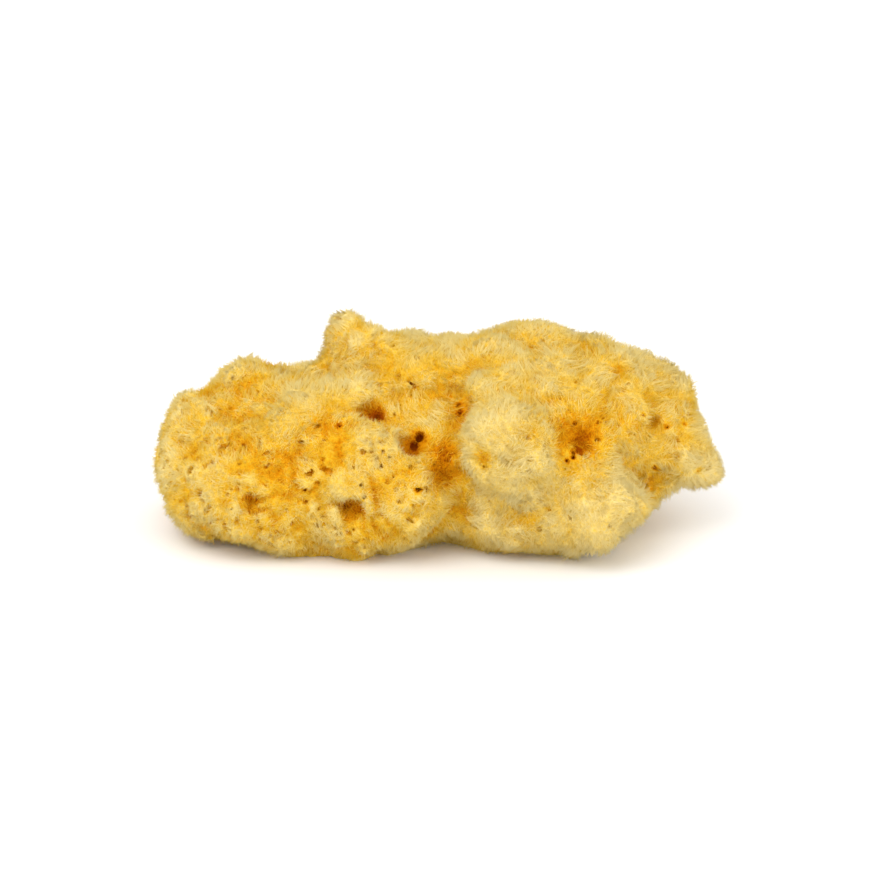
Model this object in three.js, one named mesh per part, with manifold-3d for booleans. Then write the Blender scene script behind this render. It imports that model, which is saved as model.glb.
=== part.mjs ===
// A natural bath sponge: the dried, bleached skeleton of a small yellow sea sponge, in one piece.
// Millimetres, +Z up, long side along X. It rests on the flat cut where it was trimmed from the rock.
// The solid is the sponge's outer form, as far out as the tips of its surface fibres.
import * as THREE from "three";
import { ImprovedNoise } from "three/addons/math/ImprovedNoise.js";
import { mergeVertices } from "three/addons/utils/BufferGeometryUtils.js";
import Module from "manifold-3d";

// Driving dimensions.
const BLEND = 1.1; // how softly neighbouring lobes run into each other
const GRID_STEP = 2; // spacing of the grid that the skin is drawn on
const GRID_LOW = new THREE.Vector3(-49, -31.5, -7); // the grid's lowest corner
const GRID_COUNT = [50, 34, 22]; // grid points along X, Y and Z
const BIG = 200; // longer than the sponge whichever way it lies

// Surface relief: [size of the bumps, height], coarse then fine.
const RELIEF = [
  [8, 1.8],
  [4.6, 1],
];

// The lobes that the sponge grew as: centre and half sizes.
const LOBES = [
  // the two halves of the body, and the wide foot under each
  { name: "left body", at: [-13, 2, 12], half: [20, 19, 12] },
  { name: "right body", at: [15, 3, 13], half: [20, 20, 14.5] },
  { name: "left foot", at: [-15, 1, 5], half: [22, 19, 8] },
  { name: "right foot", at: [13, 2, 5], half: [20, 19, 8] },
  // the left end, with the thin lip that stands out of it
  { name: "left end", at: [-32, -1, 9], half: [10, 14, 9.5] },
  { name: "left shoulder", at: [-33, 4, 14], half: [7, 9, 6] },
  { name: "left lip", at: [-25, 7, 19], half: [7, 8, 3.4] },
  { name: "lip's tip", at: [-29.4, 8.4, 20.6], half: [3.6, 4.4, 1.9] },
  // along the top, from left to right
  { name: "ear", at: [-12.2, 7, 25.6], half: [4.6, 4.8, 6.6] },
  { name: "left crest", at: [-2.5, 6, 21.8], half: [8.5, 11, 7.2] },
  { name: "middle crest", at: [12.5, 6, 21.8], half: [11, 13, 6.8] },
  { name: "right crest", at: [25.5, 5, 19.6], half: [10, 13, 7.6] },
  { name: "knob", at: [36.2, 3, 19.8], half: [4.2, 6, 4.8] },
  { name: "fin", at: [35.5, -1, 12.5], half: [5.6, 8, 6] },
  { name: "fin tip", at: [39.6, -2, 9.2], half: [4.2, 6, 2.4] },
  // on the front
  { name: "round cheek", at: [10.3, -12.6, 16.8], half: [8.6, 8.8, 9] },
  { name: "low cheek", at: [22, -13, 8], half: [10, 8, 7.2] },
  { name: "front left bulge", at: [-7, -12.5, 9], half: [10.5, 8.2, 8.2] },
  { name: "front left brow", at: [-13, -6, 17], half: [9, 8, 6.5] },
  { name: "front far left bulge", at: [-24, -10, 8], half: [10, 9, 7.6] },
  // on the back
  { name: "back left bulge", at: [-17, 15, 11], half: [13, 9, 9.5] },
  { name: "back bulge", at: [5, 17, 13], half: [12, 8.5, 11] },
  { name: "back right bulge", at: [23, 14, 11], half: [11, 9, 10] },
  { name: "back far left bulge", at: [-31, 9, 8], half: [8, 9, 7.5] },
];

// The large pores that water left through: a point near the skin, the radius of the pore and of
// its flared mouth, and its depth.
const PORES = [
  // front
  { at: [22.3, -13.5, 18], radius: 0.8, mouth: 3.4, depth: 2.4 },
  { at: [-2.5, -12.5, 18], radius: 1.4, mouth: 2.1, depth: 4.5 },
  { at: [-8, -8, 20.5], radius: 0.8, mouth: 1.5, depth: 2.6 },
  { at: [34, -7, 19.5], radius: 0.7, mouth: 1.3, depth: 2.5 },
  { at: [-27, -17, 10], radius: 0.8, mouth: 1.4, depth: 3.5 },
  { at: [30, -17, 10], radius: 0.7, mouth: 1.2, depth: 3 },
  { at: [-12, -19, 9], radius: 0.7, mouth: 1.2, depth: 3 },
  // top
  { at: [4, 11, 27], radius: 2, mouth: 2.9, depth: 8 },
  { at: [20, 13, 26], radius: 1.7, mouth: 2.6, depth: 7 },
  { at: [-20, 8, 21], radius: 1.4, mouth: 2.1, depth: 6 },
  // back and ends
  { at: [-12, 24, 14], radius: 1.8, mouth: 2.8, depth: 7 },
  { at: [9, 25, 15], radius: 2, mouth: 3.2, depth: 8 },
  { at: [27, 22, 13], radius: 1.3, mouth: 2, depth: 5 },
  { at: [-30, 17, 10], radius: 1.2, mouth: 1.9, depth: 5 },
  { at: [-41, -2, 11], radius: 1.2, mouth: 1.9, depth: 5 },
  { at: [38, 6, 14], radius: 1.1, mouth: 1.7, depth: 4 },
];

// The furrow that parts the round cheek from the left of the body and runs on under it: points
// along it, top to bottom.
const FURROW_RADIUS = 2;
const FURROW_STEPS = 24;
const FURROW_SIDES = 8;
const FURROW = [
  [3.4, -3, 25],
  [2.6, -8, 22.5],
  [1.5, -14, 18.5],
  [1.5, -15.5, 14.5],
  [4, -16, 12],
  [8, -17.5, 9.5],
  [13.5, -18, 7.5],
];

const noise = new ImprovedNoise();

// Distance from p to a lobe, close enough near its skin.
function toLobe(p, { at, half }) {
  const [x, y, z] = [p.x - at[0], p.y - at[1], p.z - at[2]];
  const [a, b, c] = half;
  const near = Math.hypot(x / a, y / b, z / c);
  const slope = Math.hypot(x / (a * a), y / (b * b), z / (c * c));
  return slope < 1e-9 ? -Math.min(a, b, c) : (near * (near - 1)) / slope;
}

// Below zero inside the sponge: the lobes run together, with the relief on top.
function toSkin(p) {
  let sum = 0;
  for (const lobe of LOBES) sum += Math.exp(-toLobe(p, lobe) / BLEND);
  let distance = -BLEND * Math.log(sum);
  for (const [size, height] of RELIEF)
    distance += height * noise.noise(p.x / size + 40, p.y / size + 40, p.z / size + 40);
  return distance;
}

// The way out of the sponge at p.
function outward(p) {
  const h = 0.4;
  const slope = (axis) => toSkin(p.clone().addScaledVector(axis, h))
    - toSkin(p.clone().addScaledVector(axis, -h));
  return new THREE.Vector3(
    slope(new THREE.Vector3(1, 0, 0)),
    slope(new THREE.Vector3(0, 1, 0)),
    slope(new THREE.Vector3(0, 0, 1)),
  ).normalize();
}

// The skin nearest to p, near enough to set a pore on.
function onSkin(p) {
  const found = p.clone();
  for (let i = 0; i < 8; i++) found.addScaledVector(outward(found), -0.8 * toSkin(found));
  return found;
}

const nodeOf = (i, j, k) => i + GRID_COUNT[0] * (j + GRID_COUNT[1] * k);
const placeOf = (i, j, k) => new THREE.Vector3(i, j, k).multiplyScalar(GRID_STEP).add(GRID_LOW);

// The middle of the points where the skin cuts the edges of one cell, or nothing if it misses.
function cellVertex(values, i, j, k) {
  const sum = new THREE.Vector3();
  let cuts = 0;
  for (let corner = 0; corner < 8; corner++) {
    const from = [i + (corner & 1), j + ((corner >> 1) & 1), k + (corner >> 2)];
    for (let axis = 0; axis < 3; axis++) {
      if (corner & (1 << axis)) continue;
      const to = from.map((index, n) => index + (n === axis ? 1 : 0));
      const [a, b] = [values[nodeOf(...from)], values[nodeOf(...to)]];
      if (a < 0 === b < 0) continue;
      sum.add(placeOf(...from).lerp(placeOf(...to), a / (a - b)));
      cuts += 1;
    }
  }
  return cuts && sum.divideScalar(cuts);
}

// Every grid point or cell in turn.
function eachNode(counts, visit) {
  for (let k = 0; k < counts[2]; k++)
    for (let j = 0; j < counts[1]; j++)
      for (let i = 0; i < counts[0]; i++) visit(i, j, k);
}

// The whole skin: a vertex in each cell it passes through, and four-sided faces between them.
function skin() {
  const values = new Float32Array(GRID_COUNT[0] * GRID_COUNT[1] * GRID_COUNT[2]);
  eachNode(GRID_COUNT, (i, j, k) => {
    values[nodeOf(i, j, k)] = toSkin(placeOf(i, j, k));
  });
  const cells = GRID_COUNT.map((count) => count - 1);
  const vertices = [];
  const vertexIn = new Map();
  eachNode(cells, (i, j, k) => {
    const vertex = cellVertex(values, i, j, k);
    if (!vertex) return;
    vertexIn.set(nodeOf(i, j, k), vertices.length / 3);
    vertices.push(vertex.x, vertex.y, vertex.z);
  });
  const faces = [];
  const strides = [nodeOf(1, 0, 0), nodeOf(0, 1, 0), nodeOf(0, 0, 1)];
  eachNode(cells, (i, j, k) => {
    const node = nodeOf(i, j, k);
    for (let axis = 0; axis < 3; axis++) {
      const inside = values[node] < 0;
      if (inside === values[node + strides[axis]] < 0) continue;
      const u = strides[(axis + 1) % 3];
      const v = strides[(axis + 2) % 3];
      const ring = [node, node - u, node - u - v, node - v].map((cell) => vertexIn.get(cell));
      if (!inside) ring.reverse();
      faces.push(ring[0], ring[1], ring[2], ring[0], ring[2], ring[3]);
    }
  });
  return new THREE.BufferGeometry()
    .setAttribute("position", new THREE.Float32BufferAttribute(vertices, 3))
    .setIndex(faces);
}

const wasm = await Module();
wasm.setup();

function solidOf(source) {
  const bare = source.clone();
  bare.deleteAttribute("normal");
  bare.deleteAttribute("uv");
  const merged = mergeVertices(bare, 1e-4);
  return new wasm.Manifold(
    new wasm.Mesh({
      numProp: 3,
      vertProperties: new Float32Array(merged.getAttribute("position").array),
      triVerts: new Uint32Array(merged.index.array),
    }),
  );
}

function geometryOf(solid) {
  const { numProp, vertProperties, triVerts } = solid.getMesh();
  const vertices = new THREE.InterleavedBuffer(vertProperties, numProp);
  return new THREE.BufferGeometry()
    .setAttribute("position", new THREE.InterleavedBufferAttribute(vertices, 3, 0))
    .setIndex(new THREE.BufferAttribute(triVerts, 1));
}

// Turns a shape made round Y so that its +Y points along the direction, and moves it to the place.
function placed(shape, direction, place) {
  const turn = new THREE.Quaternion().setFromUnitVectors(new THREE.Vector3(0, 1, 0), direction);
  return shape.applyQuaternion(turn).translate(place.x, place.y, place.z);
}

// A pore to take out of the body: flared at the mouth and rounded at the bottom.
function pore({ at, radius, mouth, depth }) {
  const profile = [
    [0, -depth],
    [0.6 * radius, -0.93 * depth],
    [0.9 * radius, -0.75 * depth],
    [radius, -0.4 * depth],
    [0.4 * radius + 0.6 * mouth, -0.14 * depth],
    [mouth, 0],
    [1.3 * mouth, 1],
    [1.5 * mouth, 3],
    [0, 3],
  ].map(([across, along]) => new THREE.Vector2(across, along));
  const place = onSkin(new THREE.Vector3(...at));
  return placed(new THREE.LatheGeometry(profile, 10), outward(place), place);
}

// The furrow to take out of the body: a tube along it that thins to a point at both ends.
function furrow() {
  const path = new THREE.CatmullRomCurve3(FURROW.map((at) => onSkin(new THREE.Vector3(...at))));
  const tube = new THREE.TubeGeometry(path, FURROW_STEPS, FURROW_RADIUS, FURROW_SIDES);
  const position = tube.getAttribute("position");
  const point = new THREE.Vector3();
  for (let i = 0; i < position.count; i++) {
    const along = Math.floor(i / (FURROW_SIDES + 1)) / FURROW_STEPS;
    const thinning = 1 - Math.sqrt(Math.sin(Math.PI * along));
    point.fromBufferAttribute(position, i).lerp(path.getPointAt(along), thinning);
    position.setXYZ(i, point.x, point.y, point.z);
  }
  return tube;
}

function belowCut() {
  return new THREE.BoxGeometry(BIG, BIG, BIG).translate(0, 0, -BIG / 2);
}

const cuts = [...PORES.map(pore), furrow(), belowCut()];
let body = solidOf(skin());
for (const cut of cuts) body = body.subtract(solidOf(cut));

// The part's origin is on the cut, under the middle of the sponge.
const geometry = geometryOf(body).toNonIndexed();
geometry.computeBoundingBox();
const middle = geometry.boundingBox.getCenter(new THREE.Vector3());
geometry.translate(-middle.x, -middle.y, -geometry.boundingBox.min.z);
geometry.computeVertexNormals();

const sponge = new THREE.Mesh(
  geometry,
  new THREE.MeshStandardMaterial({ color: 0xe6c15c, roughness: 0.95, metalness: 0 }),
);
sponge.name = "sponge";

const part = new THREE.Group();
part.add(sponge);

export default part;
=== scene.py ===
"""A dried natural bath sponge, lying on the flat cut where it was trimmed from the rock.

The CAD node gives the sponge's outer form. Here its skin is drawn in a little, broken into lumps,
crumbs and pores, and covered with short fibres that reach out to the CAD's surface.
Lengths are in millimetres until a mesh is made, and every random choice has a fixed seed.
"""

import math

import bpy
import numpy as np
import openvdb
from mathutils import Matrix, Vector, kdtree

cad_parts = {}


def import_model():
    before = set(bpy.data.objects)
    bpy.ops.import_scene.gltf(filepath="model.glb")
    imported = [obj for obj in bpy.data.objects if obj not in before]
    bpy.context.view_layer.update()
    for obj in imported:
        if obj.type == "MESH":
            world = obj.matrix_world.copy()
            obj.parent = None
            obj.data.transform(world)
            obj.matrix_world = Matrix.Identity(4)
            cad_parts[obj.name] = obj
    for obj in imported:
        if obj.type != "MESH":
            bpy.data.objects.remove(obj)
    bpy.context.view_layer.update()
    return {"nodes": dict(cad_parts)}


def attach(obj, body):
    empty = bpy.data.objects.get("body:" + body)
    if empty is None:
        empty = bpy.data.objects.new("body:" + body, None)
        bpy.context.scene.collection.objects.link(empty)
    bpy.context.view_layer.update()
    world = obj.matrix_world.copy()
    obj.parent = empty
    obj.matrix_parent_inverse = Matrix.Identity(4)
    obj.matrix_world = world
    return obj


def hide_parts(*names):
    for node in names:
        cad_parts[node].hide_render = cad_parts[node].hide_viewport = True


MM = 0.001

# The grid that the skin is worked out on
VOXEL = 0.28
GRID_MARGIN = 3.0
BAND = 5.0  # distances are known this far either side of the CAD's skin
BODY_FACES = 190_000
CUT_HEIGHT = 0.01  # a corner lower than this is on the flat cut

# The body's skin lies this far inside the CAD's, and the wisps reach back out to it
INSET = 1.15
SMOOTHING = 0.6  # the CAD's skin is averaged over about this far first
LEAST_INSET = 0.5  # anywhere, so that the CAD's large pores stay open

# The skin's relief: lumps (size and height), and ridges, coarse then fine (size, height on fluffy
# skin and height on crumbly skin)
LUMPS = (5.0, 0.7)
RIDGES = [(2.6, 0.4, 0.6), (1.15, 0.05, 0.22)]
RIDGE_MIDDLE = 0.4  # where a ridge's noise neither raises nor lowers the skin

# The skin is worn down to crumbs at the left and low down: X or Z of the edge, and how soft it is
CRUMBLY_LEFT_OF = (-1.0, 2.5)
CRUMBLY_BELOW = (21.0, 1.5)

# Small pores, scattered. Each is a chain of balls that runs in at a slant.
PORES_PER_CM2 = 32
PORES_LEFT_ON_FLUFF = 0.3
PORES_LOST_ON_LOBES = 0.75
PORE_RADIUS = (0.25, 0.55)
PORE_SLANT = 0.5
PORE_TAPER = 0.12  # of the radius, lost from one ball to the next

# Slits and small holes that show through the fluff: the place and radius of each mouth. They run
# in towards a line along the sponge's middle, wide ones further than narrow ones.
MIDDLE = (1.0, 9.0)  # that line's Y and Z
SLIT_DEPTH = 2.0  # plus twice the radius
SLIT_TAPER = 0.4  # of the radius, lost by the bottom
SLIT_BALLS = 12
SLITS = [
    ((-2.2, -13.0, 18.6), 1.0),
    ((-3.0, -13.6, 17.3), 1.0),
    ((-8.4, -9.6, 21.4), 0.8),
    ((20.6, -17.0, 17.5), 0.45),
    ((19.8, -17.4, 17.2), 0.4),
    ((19.8, -17.8, 16.6), 0.4),
    ((18.9, -18.5, 16.3), 0.35),
    ((3.4, -8.6, 22.0), 0.5),
    ((3.6, -9.8, 21.2), 0.4),
    ((-2.4, -20.4, 12.4), 0.5),
    ((30.2, -9.5, 20.8), 0.3),
    ((33.8, -7.7, 18.2), 0.35),
    ((32.0, -9.4, 11.8), 0.4),
    ((36.4, -6.0, 18.4), 0.3),
    ((38.4, -9.6, 11.2), 0.35),
    ((-13.8, -13.8, 20.6), 0.4),
]

# Tufts: wisps that lean together
TUFT_SPACING = 3.2
TUFT_LEAN = 1.1
TUFT_SHADE = 0.3  # how much deeper a wisp's colour gets, one spacing out from a tuft's middle: painted shade between the tufts
TUFT_MIDDLE = 0.35  # the share of that way within which it is paler instead: painted light on the tuft's middle

# Wisps: bundles of fibres that meet near the tip
WISP_SPACING = 0.7
WISP_LENGTH = (0.9, 2.2)
CRUMBLY_LENGTH = 0.55  # of a wisp on crumbly skin, as a share
WISP_PAST_SKIN = 0.5  # how far a wisp may reach past the CAD's skin
WAVE = 0.55  # how far the wisps lean together, in waves
WAVE_SIZE = 6.0
COMB = 0.8  # how far the wisps round a mouth or along the furrow lean away from it
STRAY_LEAN = 0.25

# Fibres, each a thin spike
FIBRE_PIECES = 4
FIBRES_PER_PIECE = 48_000
FIBRE_RADIUS = 0.05  # at the root
FREE_SHARE = 0.4  # of the fibres, standing on their own between the wisps
FREE_LENGTH = (0.5, 1.3)
ROOT_DEPTH = 0.15  # of a fibre's foot, under the skin
LOWEST_TIP = 0.15  # above the surface that the sponge lies on
FIBRE_PAST_SKIN = 0.3  # how far a fibre may end past the CAD's skin at its full length
SHORTENED = 0.85  # the share of its length that it loses well past the skin, or in a slit's mouth
PAINTED_TIP_LIGHT = 0.25  # painted light: how much nearer to the palest colour a fibre's thin tip is than its root
SHEAF = 0.8  # how round a fibre is lit, from 0, lit as the skin under it is

# Deep orange patches: place, radius and strength. Most lie in mouths, the furrow and dimples, and are
# partly the sponge's own stain, partly painted shade of those hollows
WARM = [
    ((22.6, -15.8, 17.5), 5.8, 1.1),
    ((3.4, -9.6, 23.4), 2.4, 0.9),
    ((3.1, -9.9, 21.4), 2.0, 1.2),
    ((0.9, -14.7, 17.1), 2.3, 1.5),
    ((1.2, -16.6, 14.2), 3.0, 0.8),
    ((-2.7, -12.5, 17.6), 1.7, 1.2),
    ((-8.4, -9.6, 21.2), 2.6, 0.75),
    ((-15.0, -12.0, 19.0), 3.2, 0.5),
    ((33.6, -8.8, 19.5), 2.2, 0.8),
    ((30.6, -10.8, 17.5), 2.4, 0.5),
    ((6.6, -21.2, 17.4), 1.6, 1.3),
    ((13.6, -20.6, 21.6), 1.7, 0.8),
    ((-2.0, -18.0, 11.5), 2.2, 0.5),
    ((13.0, -19.6, 7.5), 1.8, 0.8),
]

# The smooth, pale lobes of the front: the round cheek, the low cheek and the fin
SMOOTH_LOBES = [
    ((10.0, -16.0, 16.0), 8.5, 0.6),
    ((21.5, -17.0, 8.0), 8.5, 1.0),
    ((38.0, -2.0, 9.0), 6.0, 0.8),
]

# Depth of colour, 0 on the palest fibre tips to 1 in the deepest slits: the colour at each depth. The
# deep end carries painted shade in hollows and slits as well as orange stain
COLOURS = [
    (0.0, (0.92, 0.73, 0.3)),
    (0.22, (0.9, 0.63, 0.13)),
    (0.45, (0.87, 0.5, 0.02)),
    (0.7, (0.8, 0.31, 0.002)),
    (1.0, (0.42, 0.09, 0.001)),
]
BODY_SHADED_SHARE = 0.84  # of the colours' brightness, on the skin under the fluff: painted shade from the fluff over it

# What adds to the depth of colour, or takes from it
PLAIN_DEPTH = 0.2
HOLLOW_SHADE_DEPTH = 1.5  # painted shade, for each unit of hollowness over FLAT_HOLLOWNESS: deeper in hollows, paler on bumps
FLAT_HOLLOWNESS = 0.45
BLOTCH_SIZE = 9.0
BLOTCH_DEPTH = 0.1
# the orange patches: partly stain, partly painted shade in hollows
STAIN_AND_SHADE_DEPTH = 0.36
CRUMBLY_DEPTH = 0.08
LOBE_PALENESS = 0.28
RIM_PALENESS = 0.12
DEEPEST_SKIN = 0.74  # outside the slits
# painted shade inside the slits
IN_SLIT_SHADE = 0.26
STREAKS = 0.06  # from fibre to fibre
WARM_STREAKS = 0.08  # more, for each unit of the orange patches' stain and painted shade

# How far a slit's painted shade, its pale rim and its cleared mouth reach, in its own radii
SLIT_REACH = 1.5
RIM_REACH = 2.6
CLEARED_REACH = 1.8

# Hollowness is averaged over two distances: share and distance
HOLLOWNESS = [(0.35, 0.7), (0.65, 1.9)]

# The fine open mesh that the fibres make under the fluff
MESH_SIZE = 0.55
MESH_RELIEF = 0.2
MOTTLE_PER_METRE = 900


# ---------------------------------------------------------------- the CAD's skin on a grid

def unit(vectors):
    return vectors / (np.linalg.norm(vectors, axis=1, keepdims=True) + 1e-12)


def triangles_of(obj):
    """The node's corners in millimetres, and its triangles."""
    mesh = obj.data
    mesh.calc_loop_triangles()
    corners = np.empty(len(mesh.vertices) * 3, np.float32)
    mesh.vertices.foreach_get("co", corners)
    faces = np.empty(len(mesh.loop_triangles) * 3, np.int32)
    mesh.loop_triangles.foreach_get("vertices", faces)
    return corners.reshape(-1, 3) / MM, faces.reshape(-1, 3)


class Grid:
    """A box of voxels round the sponge. Voxel (0, 0, 0) is at `low`."""

    def __init__(self, corners):
        self.low = np.floor(corners.min(axis=0) - GRID_MARGIN)
        size = np.ceil(corners.max(axis=0) + GRID_MARGIN) - self.low
        self.shape = tuple(int(n) for n in np.ceil(size / VOXEL))

    def voxel(self, places):
        return (np.asarray(places) - self.low) / VOXEL

    def line(self, axis):
        """The places of the voxels along one axis."""
        return (self.low[axis] + np.arange(self.shape[axis]) * VOXEL).astype(np.float32)

    def sample(self, values, places):
        """The grid's values at places, from the eight voxels round each."""
        at = np.clip(self.voxel(places), 0, np.array(self.shape) - 1.001)
        base = at.astype(int)
        part = at - base
        total = np.zeros(len(places), np.float32)
        for corner in range(8):
            step = np.array([corner & 1, (corner >> 1) & 1, corner >> 2])
            weight = np.prod(np.where(step, part, 1 - part), axis=1)
            i, j, k = (base + step).T
            total += weight * values[i, j, k]
        return total


def downhill(grid, values, places, step=0.6):
    """The direction in which the grid's values fall fastest."""
    falls = []
    for axis in range(3):
        shift = np.zeros(3)
        shift[axis] = step
        falls.append(grid.sample(values, places - shift) - grid.sample(values, places + shift))
    return unit(np.stack(falls, axis=1))


def distances(grid, corners, faces):
    """Distance to the CAD's skin at every voxel, below zero inside.
    The flat cut is first carried down, so that only the grown skin counts."""
    corners = corners.copy()
    corners[corners[:, 2] < CUT_HEIGHT, 2] -= GRID_MARGIN - 0.5
    level = openvdb.FloatGrid.createLevelSetFromPolygons(
        grid.voxel(corners).astype(np.float32),
        triangles=faces.astype(np.uint32),
        halfWidth=BAND / VOXEL,
    )
    values = np.empty(grid.shape, np.float32)
    level.copyToArray(values)
    return values * VOXEL


# ---------------------------------------------------------------- relief

def spline_weights(count, cell):
    """How much each random knot counts at each of `count` voxels, `cell` voxels apart."""
    at = np.arange(count) / cell + 1
    base = at.astype(int)
    t = at - base
    weights = np.zeros((count, base.max() + 3), np.float32)
    rows = np.arange(count)
    weights[rows, base - 1] = (1 - t) ** 3 / 6
    weights[rows, base] = (3 * t**3 - 6 * t**2 + 4) / 6
    weights[rows, base + 1] = (-3 * t**3 + 3 * t**2 + 3 * t + 1) / 6
    weights[rows, base + 2] = t**3 / 6
    return weights


def soft_noise(shape, size, seed):
    """Smooth random values over the grid, about -1 to 1, with bumps about `size` mm across."""
    rng = np.random.default_rng(seed)
    x, y, z = (spline_weights(n, size / 2 / VOXEL) for n in shape)
    knots = rng.standard_normal((x.shape[1], y.shape[1], z.shape[1])).astype(np.float32)
    values = np.einsum("ai,ijk->ajk", x, knots, optimize=True)
    values = np.einsum("bj,ajk->abk", y, values, optimize=True)
    values = values @ z.T
    return values / (2 * values.std())


def carve_ball(grid, field, place, radius):
    """Takes a ball out of the sponge."""
    reach = int(radius / VOXEL) + 3
    middle = grid.voxel(place)
    low = np.maximum(middle.astype(int) - reach, 0)
    high = np.minimum(middle.astype(int) + reach + 1, grid.shape)
    if (low >= high).any():
        return
    box = tuple(slice(a, b) for a, b in zip(low, high))
    x, y, z = np.ogrid[box]
    far = np.sqrt((x - middle[0]) ** 2 + (y - middle[1]) ** 2 + (z - middle[2]) ** 2)
    field[box] = np.maximum(field[box], radius - far * VOXEL)


def scatter(corners, faces, per_mm2, rng):
    """Random points spread evenly over triangles, with each one's outward direction."""
    a, b, c = (corners[faces[:, n]] for n in range(3))
    cross = np.cross(b - a, c - a)
    area = np.linalg.norm(cross, axis=1) / 2
    count = int(area.sum() * per_mm2)
    pick = np.searchsorted(np.cumsum(area), rng.random(count) * area.sum())
    pick = np.minimum(pick, len(area) - 1)
    u, v = rng.random((2, count))
    over = u + v > 1
    u[over], v[over] = 1 - u[over], 1 - v[over]
    places = a[pick] + (b - a)[pick] * u[:, None] + (c - a)[pick] * v[:, None]
    return places, cross[pick] / (2 * area[pick, None] + 1e-12)


def pale_lobes(places):
    """Up to 1 on the smooth pale lobes of the front, falling to 0 away from them."""
    return sum(
        strength * np.exp(-((np.linalg.norm(places - np.array(at), axis=1) / radius) ** 4))
        for at, radius, strength in SMOOTH_LOBES
    )


def crumbly(x, z):
    """1 where the skin is worn down to crumbs, 0 where it is still fluffy with fibres."""
    left = 1 / (1 + np.exp((x - CRUMBLY_LEFT_OF[0]) / CRUMBLY_LEFT_OF[1]))
    low = 1 / (1 + np.exp((z - CRUMBLY_BELOW[0]) / CRUMBLY_BELOW[1]))
    return left * low


def carve_pores(grid, field, corners, faces):
    """Small pores, most of them where the skin is crumbly."""
    rng = np.random.default_rng(11)
    places, normals = scatter(corners, faces, PORES_PER_CM2 / 100, rng)
    chance = PORES_LEFT_ON_FLUFF + (1 - PORES_LEFT_ON_FLUFF) * crumbly(places[:, 0], places[:, 2])
    keep = rng.random(len(places)) < chance * (1 - PORES_LOST_ON_LOBES * pale_lobes(places))
    for place, normal in zip(places[keep], normals[keep]):
        radius = PORE_RADIUS[0] + (PORE_RADIUS[1] - PORE_RADIUS[0]) * rng.random() ** 2
        way = -normal + PORE_SLANT * rng.standard_normal(3)
        way /= np.linalg.norm(way)
        start = place - normal * INSET
        for step in range(rng.integers(2, 5)):
            carve_ball(grid, field, start + way * step * radius, radius * (1 - PORE_TAPER * step))


def slit_line(place, radius):
    """The way from a slit's mouth to its bottom."""
    inwards = unit(np.array([[0, MIDDLE[0] - place[1], MIDDLE[1] - place[2]]]))[0]
    return inwards * (SLIT_DEPTH + 2 * radius)


def carve_slits(grid, field):
    for place, radius in SLITS:
        line = slit_line(place, radius)
        for share in np.linspace(0, 1, SLIT_BALLS):
            carve_ball(grid, field, place + line * share, radius * (1 - SLIT_TAPER * share))


def sponge_field(grid, skin, corners, faces):
    """Below zero inside the sponge's body."""
    field = blurred(skin, SMOOTHING) + INSET
    x, z = grid.line(0)[:, None, None], grid.line(2)[None, None, :]
    crumbs = crumbly(x, z)
    field -= LUMPS[1] * soft_noise(grid.shape, LUMPS[0], 1)
    for seed, (size, fluffy, crumbled) in enumerate(RIDGES, 2):
        height = fluffy + (crumbled - fluffy) * crumbs
        field -= height * (np.abs(soft_noise(grid.shape, size, seed)) - RIDGE_MIDDLE)
    field = np.maximum(field, skin + LEAST_INSET)
    grown = faces[corners[faces][:, :, 2].max(axis=1) > CUT_HEIGHT]
    carve_pores(grid, field, corners, grown)
    carve_slits(grid, field)
    return np.maximum(field, -grid.line(2))


# ---------------------------------------------------------------- hollows, painted shade and orange stain

def blurred(values, radius):
    """Values averaged over about `radius` mm, by two running means along each axis."""
    width = max(1, int(round(radius / VOXEL)))
    for axis in range(3):
        for _ in range(2):
            edge = [(0, 0)] * 3
            edge[axis] = (width + 1, width)
            total = np.cumsum(np.pad(values, edge, mode="edge"), axis=axis, dtype=np.float32)
            n = values.shape[axis]
            ahead = np.take(total, np.arange(2 * width + 1, 2 * width + 1 + n), axis=axis)
            behind = np.take(total, np.arange(n), axis=axis)
            values = (ahead - behind) / (2 * width + 1)
    return values


def hollowness(field):
    """How shut in a place is: about 0.5 on a flat skin, more in a hollow, less on a bump."""
    solid = (field < 0).astype(np.float32)
    return sum(share * blurred(solid, distance) for share, distance in HOLLOWNESS)


def stain_and_hollow_shade(places):
    """How deep orange the sponge is at each place, from the WARM patches alone: stain, with painted
    shade where a patch lies in a hollow.
    """
    total = np.zeros(len(places))
    for at, radius, strength in WARM:
        far = np.linalg.norm(places - np.array(at), axis=1)
        total += strength * np.exp(-((far / radius) ** 2))
    return total


def near_slits(places, reach):
    """1 in and beside a slit, falling off at about `reach` radii from its line."""
    total = np.zeros(len(places))
    for mouth, radius in SLITS:
        line = slit_line(mouth, radius)
        away = places - np.array(mouth)
        along = np.clip(away @ line / (line @ line), 0, 1)
        far = np.linalg.norm(away - along[:, None] * line, axis=1)
        total = np.maximum(total, np.exp(-((far / (reach * radius)) ** 4)))
    return total


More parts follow.
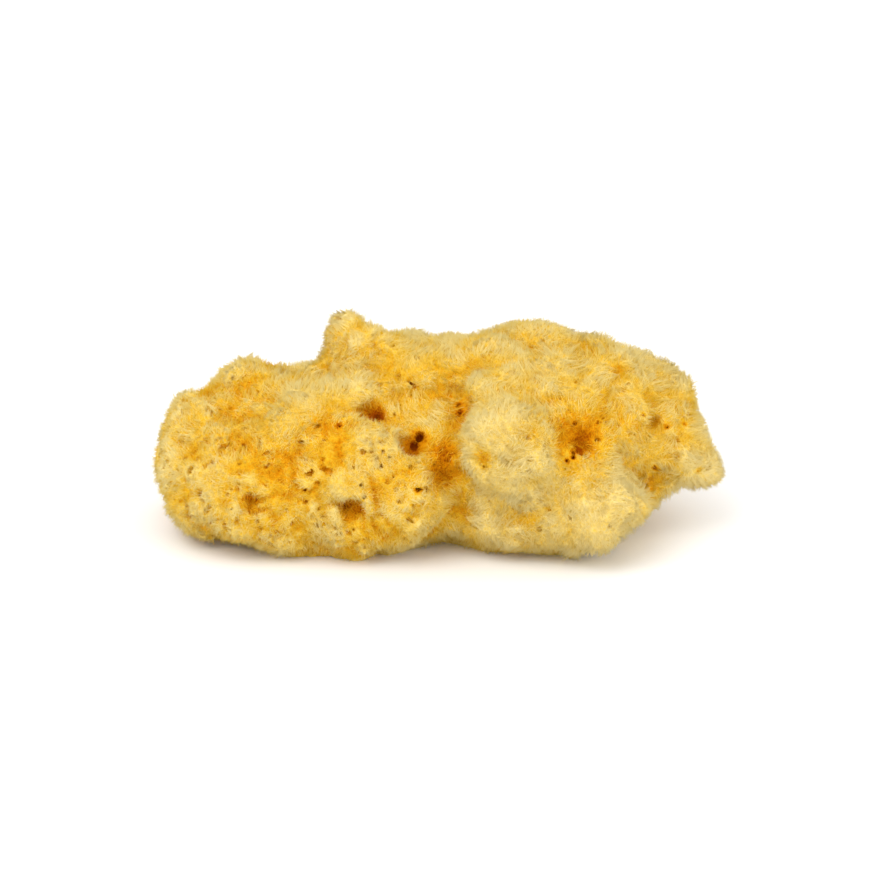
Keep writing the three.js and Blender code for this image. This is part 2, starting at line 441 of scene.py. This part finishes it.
def depth_of_colour(grid, hollow, blotches, places):
    """0 on the palest skin to 1 in the deepest slits, whose rims are pale. It holds painted shade:
    deeper in hollows and slits, paler on bumps.
    """
    # painted shade: deeper colour where a place is shut in, paler on bumps
    shut = (grid.sample(hollow, places) - FLAT_HOLLOWNESS) * HOLLOW_SHADE_DEPTH
    blotch = BLOTCH_DEPTH * grid.sample(blotches, places)
    slit, rim = near_slits(places, SLIT_REACH), near_slits(places, RIM_REACH)
    # the orange patches, stain and painted shade in hollows, and the crumbly skin's own tone
    stained_and_shaded = STAIN_AND_SHADE_DEPTH * stain_and_hollow_shade(places) + CRUMBLY_DEPTH * crumbly(places[:, 0], places[:, 2])
    pale = LOBE_PALENESS * pale_lobes(places)
    skin = PLAIN_DEPTH + shut + blotch + stained_and_shaded - pale - RIM_PALENESS * (rim - slit)
    # painted shade deepens the colour inside the slits
    return np.clip(np.clip(skin, 0, DEEPEST_SKIN) + IN_SLIT_SHADE * slit, 0, 1)


# ---------------------------------------------------------------- meshes

def new_piece(name, corners, faces, material):
    """A mesh object from corners in mm and faces with as many corners each."""
    mesh = bpy.data.meshes.new(name)
    sides = faces.shape[1]
    mesh.vertices.add(len(corners))
    mesh.vertices.foreach_set("co", (corners * MM).astype(np.float32).ravel())
    mesh.loops.add(faces.size)
    mesh.loops.foreach_set("vertex_index", faces.astype(np.int32).ravel())
    mesh.polygons.add(len(faces))
    mesh.polygons.foreach_set("loop_start", np.arange(0, faces.size, sides, dtype=np.int32))
    mesh.update(calc_edges=True)
    mesh.polygons.foreach_set("use_smooth", np.ones(len(faces), bool))
    mesh.materials.append(material)
    obj = bpy.data.objects.new(name, mesh)
    bpy.context.collection.objects.link(obj)
    return obj


def write_values(mesh, name, values):
    layer = mesh.attributes.new(name, "FLOAT", "POINT")
    layer.data.foreach_set("value", np.asarray(values, np.float32))


def largest_part(count, faces):
    """Marks the faces of the largest connected part, so that no loose crumb is left."""
    label = np.arange(count)
    edges = np.concatenate([faces[:, [n, (n + 1) % faces.shape[1]]] for n in range(faces.shape[1])])
    while True:
        lower = np.minimum(label[edges[:, 0]], label[edges[:, 1]])
        before = label.copy()
        np.minimum.at(label, edges[:, 0], lower)
        np.minimum.at(label, edges[:, 1], lower)
        label = label[label]
        if (label == before).all():
            break
    names, sizes = np.unique(label, return_counts=True)
    return label[faces[:, 0]] == names[sizes.argmax()]


def surface_of(grid, field):
    """The field's skin as corners in mm and four-sided faces, in one connected part."""
    level = openvdb.FloatGrid(1e3)
    level.copyFromArray(field)
    points, quads = level.convertToQuads(isovalue=0.0)
    quads = quads[largest_part(len(points), quads)]
    used, faces = np.unique(quads, return_inverse=True)
    return points[used] * VOXEL + grid.low, faces.reshape(-1, 4)


def thin_out(obj, target):
    """Fewer, better placed triangles."""
    modifier = obj.modifiers.new("thin", "DECIMATE")
    obj.data.calc_loop_triangles()
    modifier.ratio = min(1.0, target / len(obj.data.loop_triangles))
    modifier.use_collapse_triangulate = True
    made = bpy.data.meshes.new_from_object(obj.evaluated_get(bpy.context.evaluated_depsgraph_get()))
    obj.modifiers.clear()
    obj.data = made
    return obj


def body_piece(grid, field, colouring, material):
    corners, faces = surface_of(grid, field)
    obj = thin_out(new_piece("sponge_body", corners, faces, material), BODY_FACES)
    places, _ = triangles_of(obj)
    write_values(obj.data, "depth", colouring(places))
    return obj


# ---------------------------------------------------------------- fibres

def away_from_mouths(places):
    """The way that the wisps round the deep orange mouths lean, fading with distance."""
    total = np.zeros((len(places), 3))
    for at, radius, strength in WARM:
        away = places - np.array(at)
        far = np.linalg.norm(away, axis=1, keepdims=True) / radius
        total += strength * away / (far * radius + 1e-6) * np.exp(-((far / 1.6) ** 2))
    return total


def waving(places, rng, waves=12):
    """A smooth random push at each place, like wind over grass."""
    total = np.zeros((len(places), 3))
    for _ in range(waves):
        pace = rng.standard_normal(3) * math.pi / WAVE_SIZE
        phase = rng.random() * 2 * math.pi
        total += np.sin(places @ pace + phase)[:, None] * rng.standard_normal(3)
    return total * math.sqrt(2 / waves)


def between(limits, shares):
    return limits[0] + (limits[1] - limits[0]) * shares


def tree_of(places):
    tree = kdtree.KDTree(len(places))
    for index, place in enumerate(places):
        tree.insert(place, index)
    tree.balance()
    return tree


def nearest(tree, places):
    """The number of the tree's place that is nearest to each place."""
    return np.array([tree.find(place)[1] for place in places])


class Wisps:
    """Bundles of fibres, gathered into tufts: where each is rooted, the way it points, its length and
    how much deeper than the skin it is coloured, as painted shade at a tuft's edge and painted light at
    its middle."""

    def __init__(self, grid, skin, hollow, corners, hairy):
        rng = np.random.default_rng(21)
        self.roots, _ = scatter(corners, hairy, 1 / WISP_SPACING**2, rng)
        tufts, _ = scatter(corners, hairy, 1 / TUFT_SPACING**2, rng)
        inwards = (tufts[nearest(tree_of(tufts), self.roots)] - self.roots) / TUFT_SPACING
        out = downhill(grid, hollow, self.roots)
        lean = TUFT_LEAN * inwards + WAVE * waving(self.roots, rng)
        lean += COMB * away_from_mouths(self.roots)
        lean += STRAY_LEAN * rng.standard_normal(self.roots.shape)
        lean -= out * np.sum(lean * out, axis=1, keepdims=True)
        self.way = unit(out + lean)
        edge = np.linalg.norm(inwards, axis=1)
        # painted shade towards a tuft's edge, painted light at its middle
        self.shade = TUFT_SHADE * (edge - TUFT_MIDDLE)
        length = between(WISP_LENGTH, rng.random(len(self.roots)) ** 1.5) * (1.2 - 0.6 * edge)
        length *= 1 - (1 - CRUMBLY_LENGTH) * crumbly(self.roots[:, 0], self.roots[:, 2])
        room = np.clip(-grid.sample(skin, self.roots), 0.1, 3.0)
        self.length = np.minimum(length, room + WISP_PAST_SKIN)
        self.tree = tree_of(self.roots)


def fibre_tips(roots, out, wisps, own, room, rng):
    """Where each fibre ends: close to its wisp's tip, or on its own.
    `room` gives the share of a fibre's length that is kept when it would end there."""
    foot, way = wisps.roots[own], wisps.way[own]
    reach = wisps.length[own, None] * (0.7 + 0.4 * rng.random((len(roots), 1)))
    stray = rng.standard_normal(roots.shape)
    gathered = foot + way * reach + 0.3 * (roots - foot) + 0.07 * stray
    free = roots + unit(out + 0.5 * stray) * between(FREE_LENGTH, rng.random((len(roots), 1)))
    tips = np.where(rng.random((len(roots), 1)) < FREE_SHARE, free, gathered)
    tips = roots + (tips - roots) * room(tips)[:, None]
    tips[:, 2] = np.maximum(tips[:, 2], LOWEST_TIP)
    return tips


def spikes_between(roots, tips, out, rng):
    """A thin three-sided spike from each root to its tip: four corners each,
    and the direction that each corner is lit from, so that the fluff looks soft."""
    way = unit(tips - roots)
    side = unit(np.cross(way, rng.standard_normal(way.shape)))
    other = np.cross(way, side)
    width = FIBRE_RADIUS * (0.7 + 0.6 * rng.random((len(roots), 1)))
    foot = roots - way * ROOT_DEPTH
    spokes = [math.cos(a) * side + math.sin(a) * other for a in (0, 2 * math.pi / 3, 4 * math.pi / 3)]
    points = np.stack([*(foot + width * spoke for spoke in spokes), tips], axis=1)
    facing = np.stack([*(unit(out + SHEAF * spoke) for spoke in spokes), unit(out + way)], axis=1)
    return points.reshape(-1, 3), facing.reshape(-1, 3)


def fibre_piece(name, body, wisps, fields, material, seed):
    """One share of the fibres, as one mesh."""
    rng = np.random.default_rng(seed)
    corners, hairy = body
    grid, hollow, colouring, room = fields
    a, b, c = (corners[hairy[:, n]] for n in range(3))
    area = np.linalg.norm(np.cross(b - a, c - a), axis=1).sum() / 2
    roots, _ = scatter(corners, hairy, FIBRES_PER_PIECE / area, rng)
    out = downhill(grid, hollow, roots)
    own = nearest(wisps.tree, roots)
    tips = fibre_tips(roots, out, wisps, own, room, rng)
    points, facing = spikes_between(roots, tips, out, rng)
    first = 4 * np.arange(len(roots))[:, None, None]
    spikes = (first + np.array([[0, 1, 3], [1, 2, 3], [2, 0, 3], [0, 2, 1]])).reshape(-1, 3)
    obj = new_piece(name, points, spikes, material)
    streak = STREAKS + WARM_STREAKS * np.minimum(stain_and_hollow_shade(roots), 1.5)
    # the root's depth of colour, the tuft's painted shade and light, and random streaks
    depth = colouring(roots) + wisps.shade[own] + streak * rng.standard_normal(len(roots))
    # painted light on the fibre's thin tip
    tip = depth - PAINTED_TIP_LIGHT * np.clip(1.5 - 2 * depth, 0, 1)
    write_values(obj.data, "depth", np.clip(np.stack([depth, depth, depth, tip], axis=1), 0, 1).ravel())
    obj.data.normals_split_custom_set_from_vertices(facing)
    return obj


# ---------------------------------------------------------------- material

def ramp(nodes, stops, share):
    """A colour ramp, with `share` of each stop's brightness."""
    node = nodes.new("ShaderNodeValToRGB")
    elements = node.color_ramp.elements
    while len(elements) < len(stops):
        elements.new(0.5)
    for element, (place, colour) in zip(elements, stops):
        element.position = place
        element.color = (*(share * value for value in colour), 1.0)
    return node


def spongin(name, share=1.0):
    """A matt material with a `depth` node, the depth of colour with its painted shade, and a `skin`
    node, the ramp that turns it into a colour."""
    material = bpy.data.materials.new(name)
    material.use_nodes = True
    nodes, links = material.node_tree.nodes, material.node_tree.links
    shader = nodes["Principled BSDF"]
    shader.inputs["Roughness"].default_value = 0.95
    shader.inputs["Specular IOR Level"].default_value = 0.03
    skin = ramp(nodes, COLOURS, share)
    skin.name = "skin"
    links.new(skin.outputs["Color"], shader.inputs["Base Color"])
    depth = nodes.new("ShaderNodeAttribute")
    depth.name = "depth"
    depth.attribute_name = "depth"
    return material


def fibre_material():
    material = spongin("spongin_fibre")
    nodes, links = material.node_tree.nodes, material.node_tree.links
    links.new(nodes["depth"].outputs["Fac"], nodes["skin"].inputs["Fac"])
    return material


def math_node(nodes, links, operation, *values):
    """A math node whose inputs are numbers or other nodes' outputs."""
    node = nodes.new("ShaderNodeMath")
    node.operation = operation
    for socket, value in zip(node.inputs, values):
        if isinstance(value, (int, float)):
            socket.default_value = value
        else:
            links.new(value, socket)
    return node.outputs[0]


def body_material():
    """The skin under the fluff: a fine open mesh of fibres, darker in its holes as painted shade."""
    # painted shade: the skin under the fluff takes a darker copy of the colours
    material = spongin("spongin", BODY_SHADED_SHARE)
    nodes, links = material.node_tree.nodes, material.node_tree.links
    shader = nodes["Principled BSDF"]
    place = nodes.new("ShaderNodeTexCoord")
    mesh = nodes.new("ShaderNodeTexVoronoi")
    mesh.feature = "DISTANCE_TO_EDGE"
    mesh.inputs["Scale"].default_value = 1 / (MESH_SIZE * MM)
    links.new(place.outputs["Object"], mesh.inputs["Vector"])
    hole = nodes.new("ShaderNodeMapRange")
    hole.interpolation_type = "SMOOTHSTEP"
    hole.inputs["From Min"].default_value = 0.04
    hole.inputs["From Max"].default_value = 0.3
    links.new(mesh.outputs["Distance"], hole.inputs["Value"])
    mottle = nodes.new("ShaderNodeTexNoise")
    mottle.inputs["Scale"].default_value = MOTTLE_PER_METRE
    mottle.inputs["Detail"].default_value = 4
    links.new(place.outputs["Object"], mottle.inputs["Vector"])
    fine = math_node(nodes, links, "MULTIPLY_ADD", hole.outputs["Result"], 0.5, mottle.outputs["Fac"])
    # painted shade: deeper colour in the mesh's holes, plus random mottle
    shift = math_node(nodes, links, "MULTIPLY_ADD", fine, 0.3, -0.05)
    total = math_node(nodes, links, "ADD", nodes["depth"].outputs["Fac"], shift)
    links.new(total, nodes["skin"].inputs["Fac"])
    bump = nodes.new("ShaderNodeBump")
    bump.invert = True
    bump.inputs["Strength"].default_value = 0.6
    bump.inputs["Distance"].default_value = MESH_RELIEF * MM
    links.new(fine, bump.inputs["Height"])
    links.new(bump.outputs["Normal"], shader.inputs["Normal"])
    return material


# ---------------------------------------------------------------- stage

def floor():
    bpy.ops.mesh.primitive_plane_add(size=4)
    plane = bpy.context.object
    plane.name = "floor"
    material = bpy.data.materials.new("floor")
    material.use_nodes = True
    shader = material.node_tree.nodes["Principled BSDF"]
    shader.inputs["Base Color"].default_value = (0.93, 0.93, 0.93, 1)
    shader.inputs["Roughness"].default_value = 0.8
    plane.data.materials.append(material)


def lamp(name, place, size, power, target=(0, 0, 0.01)):
    light = bpy.data.lights.new(name, "AREA")
    light.size = size
    light.energy = power
    obj = bpy.data.objects.new(name, light)
    obj.location = place
    way = Vector(target) - Vector(place)
    obj.rotation_euler = way.to_track_quat("-Z", "Y").to_euler()
    bpy.context.collection.objects.link(obj)


def studio():
    world = bpy.data.worlds.new("studio")
    world.use_nodes = True
    world.node_tree.nodes["Background"].inputs["Color"].default_value = (1, 1, 1, 1)
    world.node_tree.nodes["Background"].inputs["Strength"].default_value = 1.1
    bpy.context.scene.world = world
    lamp("key", (-0.3, -0.4, 0.6), 0.6, 2.4)
    lamp("fill", (0.5, -0.4, 0.35), 0.5, 1.1)
    bpy.context.scene.view_settings.view_transform = "Standard"


def camera(distance=0.65, elevation=20.0, width=0.128, target=(0.0, 0.0, 0.0135)):
    """Looks along +Y from a little above, with `width` metres across the picture at the sponge."""
    data = bpy.data.cameras.new("camera")
    data.sensor_width = 36
    data.lens = 36 * distance / width
    data.clip_start = 0.01
    obj = bpy.data.objects.new("camera", data)
    tilt = math.radians(elevation)
    target = Vector(target)
    obj.location = target + distance * Vector((0, -math.cos(tilt), math.sin(tilt)))
    obj.rotation_euler = (target - obj.location).to_track_quat("-Z", "Y").to_euler()
    bpy.context.collection.objects.link(obj)
    bpy.context.scene.camera = obj


# ---------------------------------------------------------------- the sponge

def show_instead(obj, body="root"):
    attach(obj, body)


def main():
    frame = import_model()
    corners, faces = triangles_of(frame["nodes"]["sponge"])

    grid = Grid(corners)
    skin = distances(grid, corners, faces)
    field = sponge_field(grid, skin, corners, faces)
    hollow = hollowness(field)
    blotches = soft_noise(grid.shape, BLOTCH_SIZE, 5)

    def colouring(places):
        return depth_of_colour(grid, hollow, blotches, places)

    def room(tips):
        past = np.clip(grid.sample(skin, tips) - FIBRE_PAST_SKIN, 0, 1)
        return 1 - SHORTENED * np.maximum(past, near_slits(tips, CLEARED_REACH))

    body = body_piece(grid, field, colouring, body_material())
    show_instead(body)
    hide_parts("sponge")

    places, triangles = triangles_of(body)
    hairy = triangles[places[triangles][:, :, 2].min(axis=1) > 0.2]
    wisps = Wisps(grid, skin, hollow, places, hairy)
    material = fibre_material()
    fields = grid, hollow, colouring, room
    for n in range(1, FIBRE_PIECES + 1):
        show_instead(fibre_piece(f"fibres_{n}", (places, hairy), wisps, fields, material, 100 + n))

    floor()
    studio()
    camera()


main()
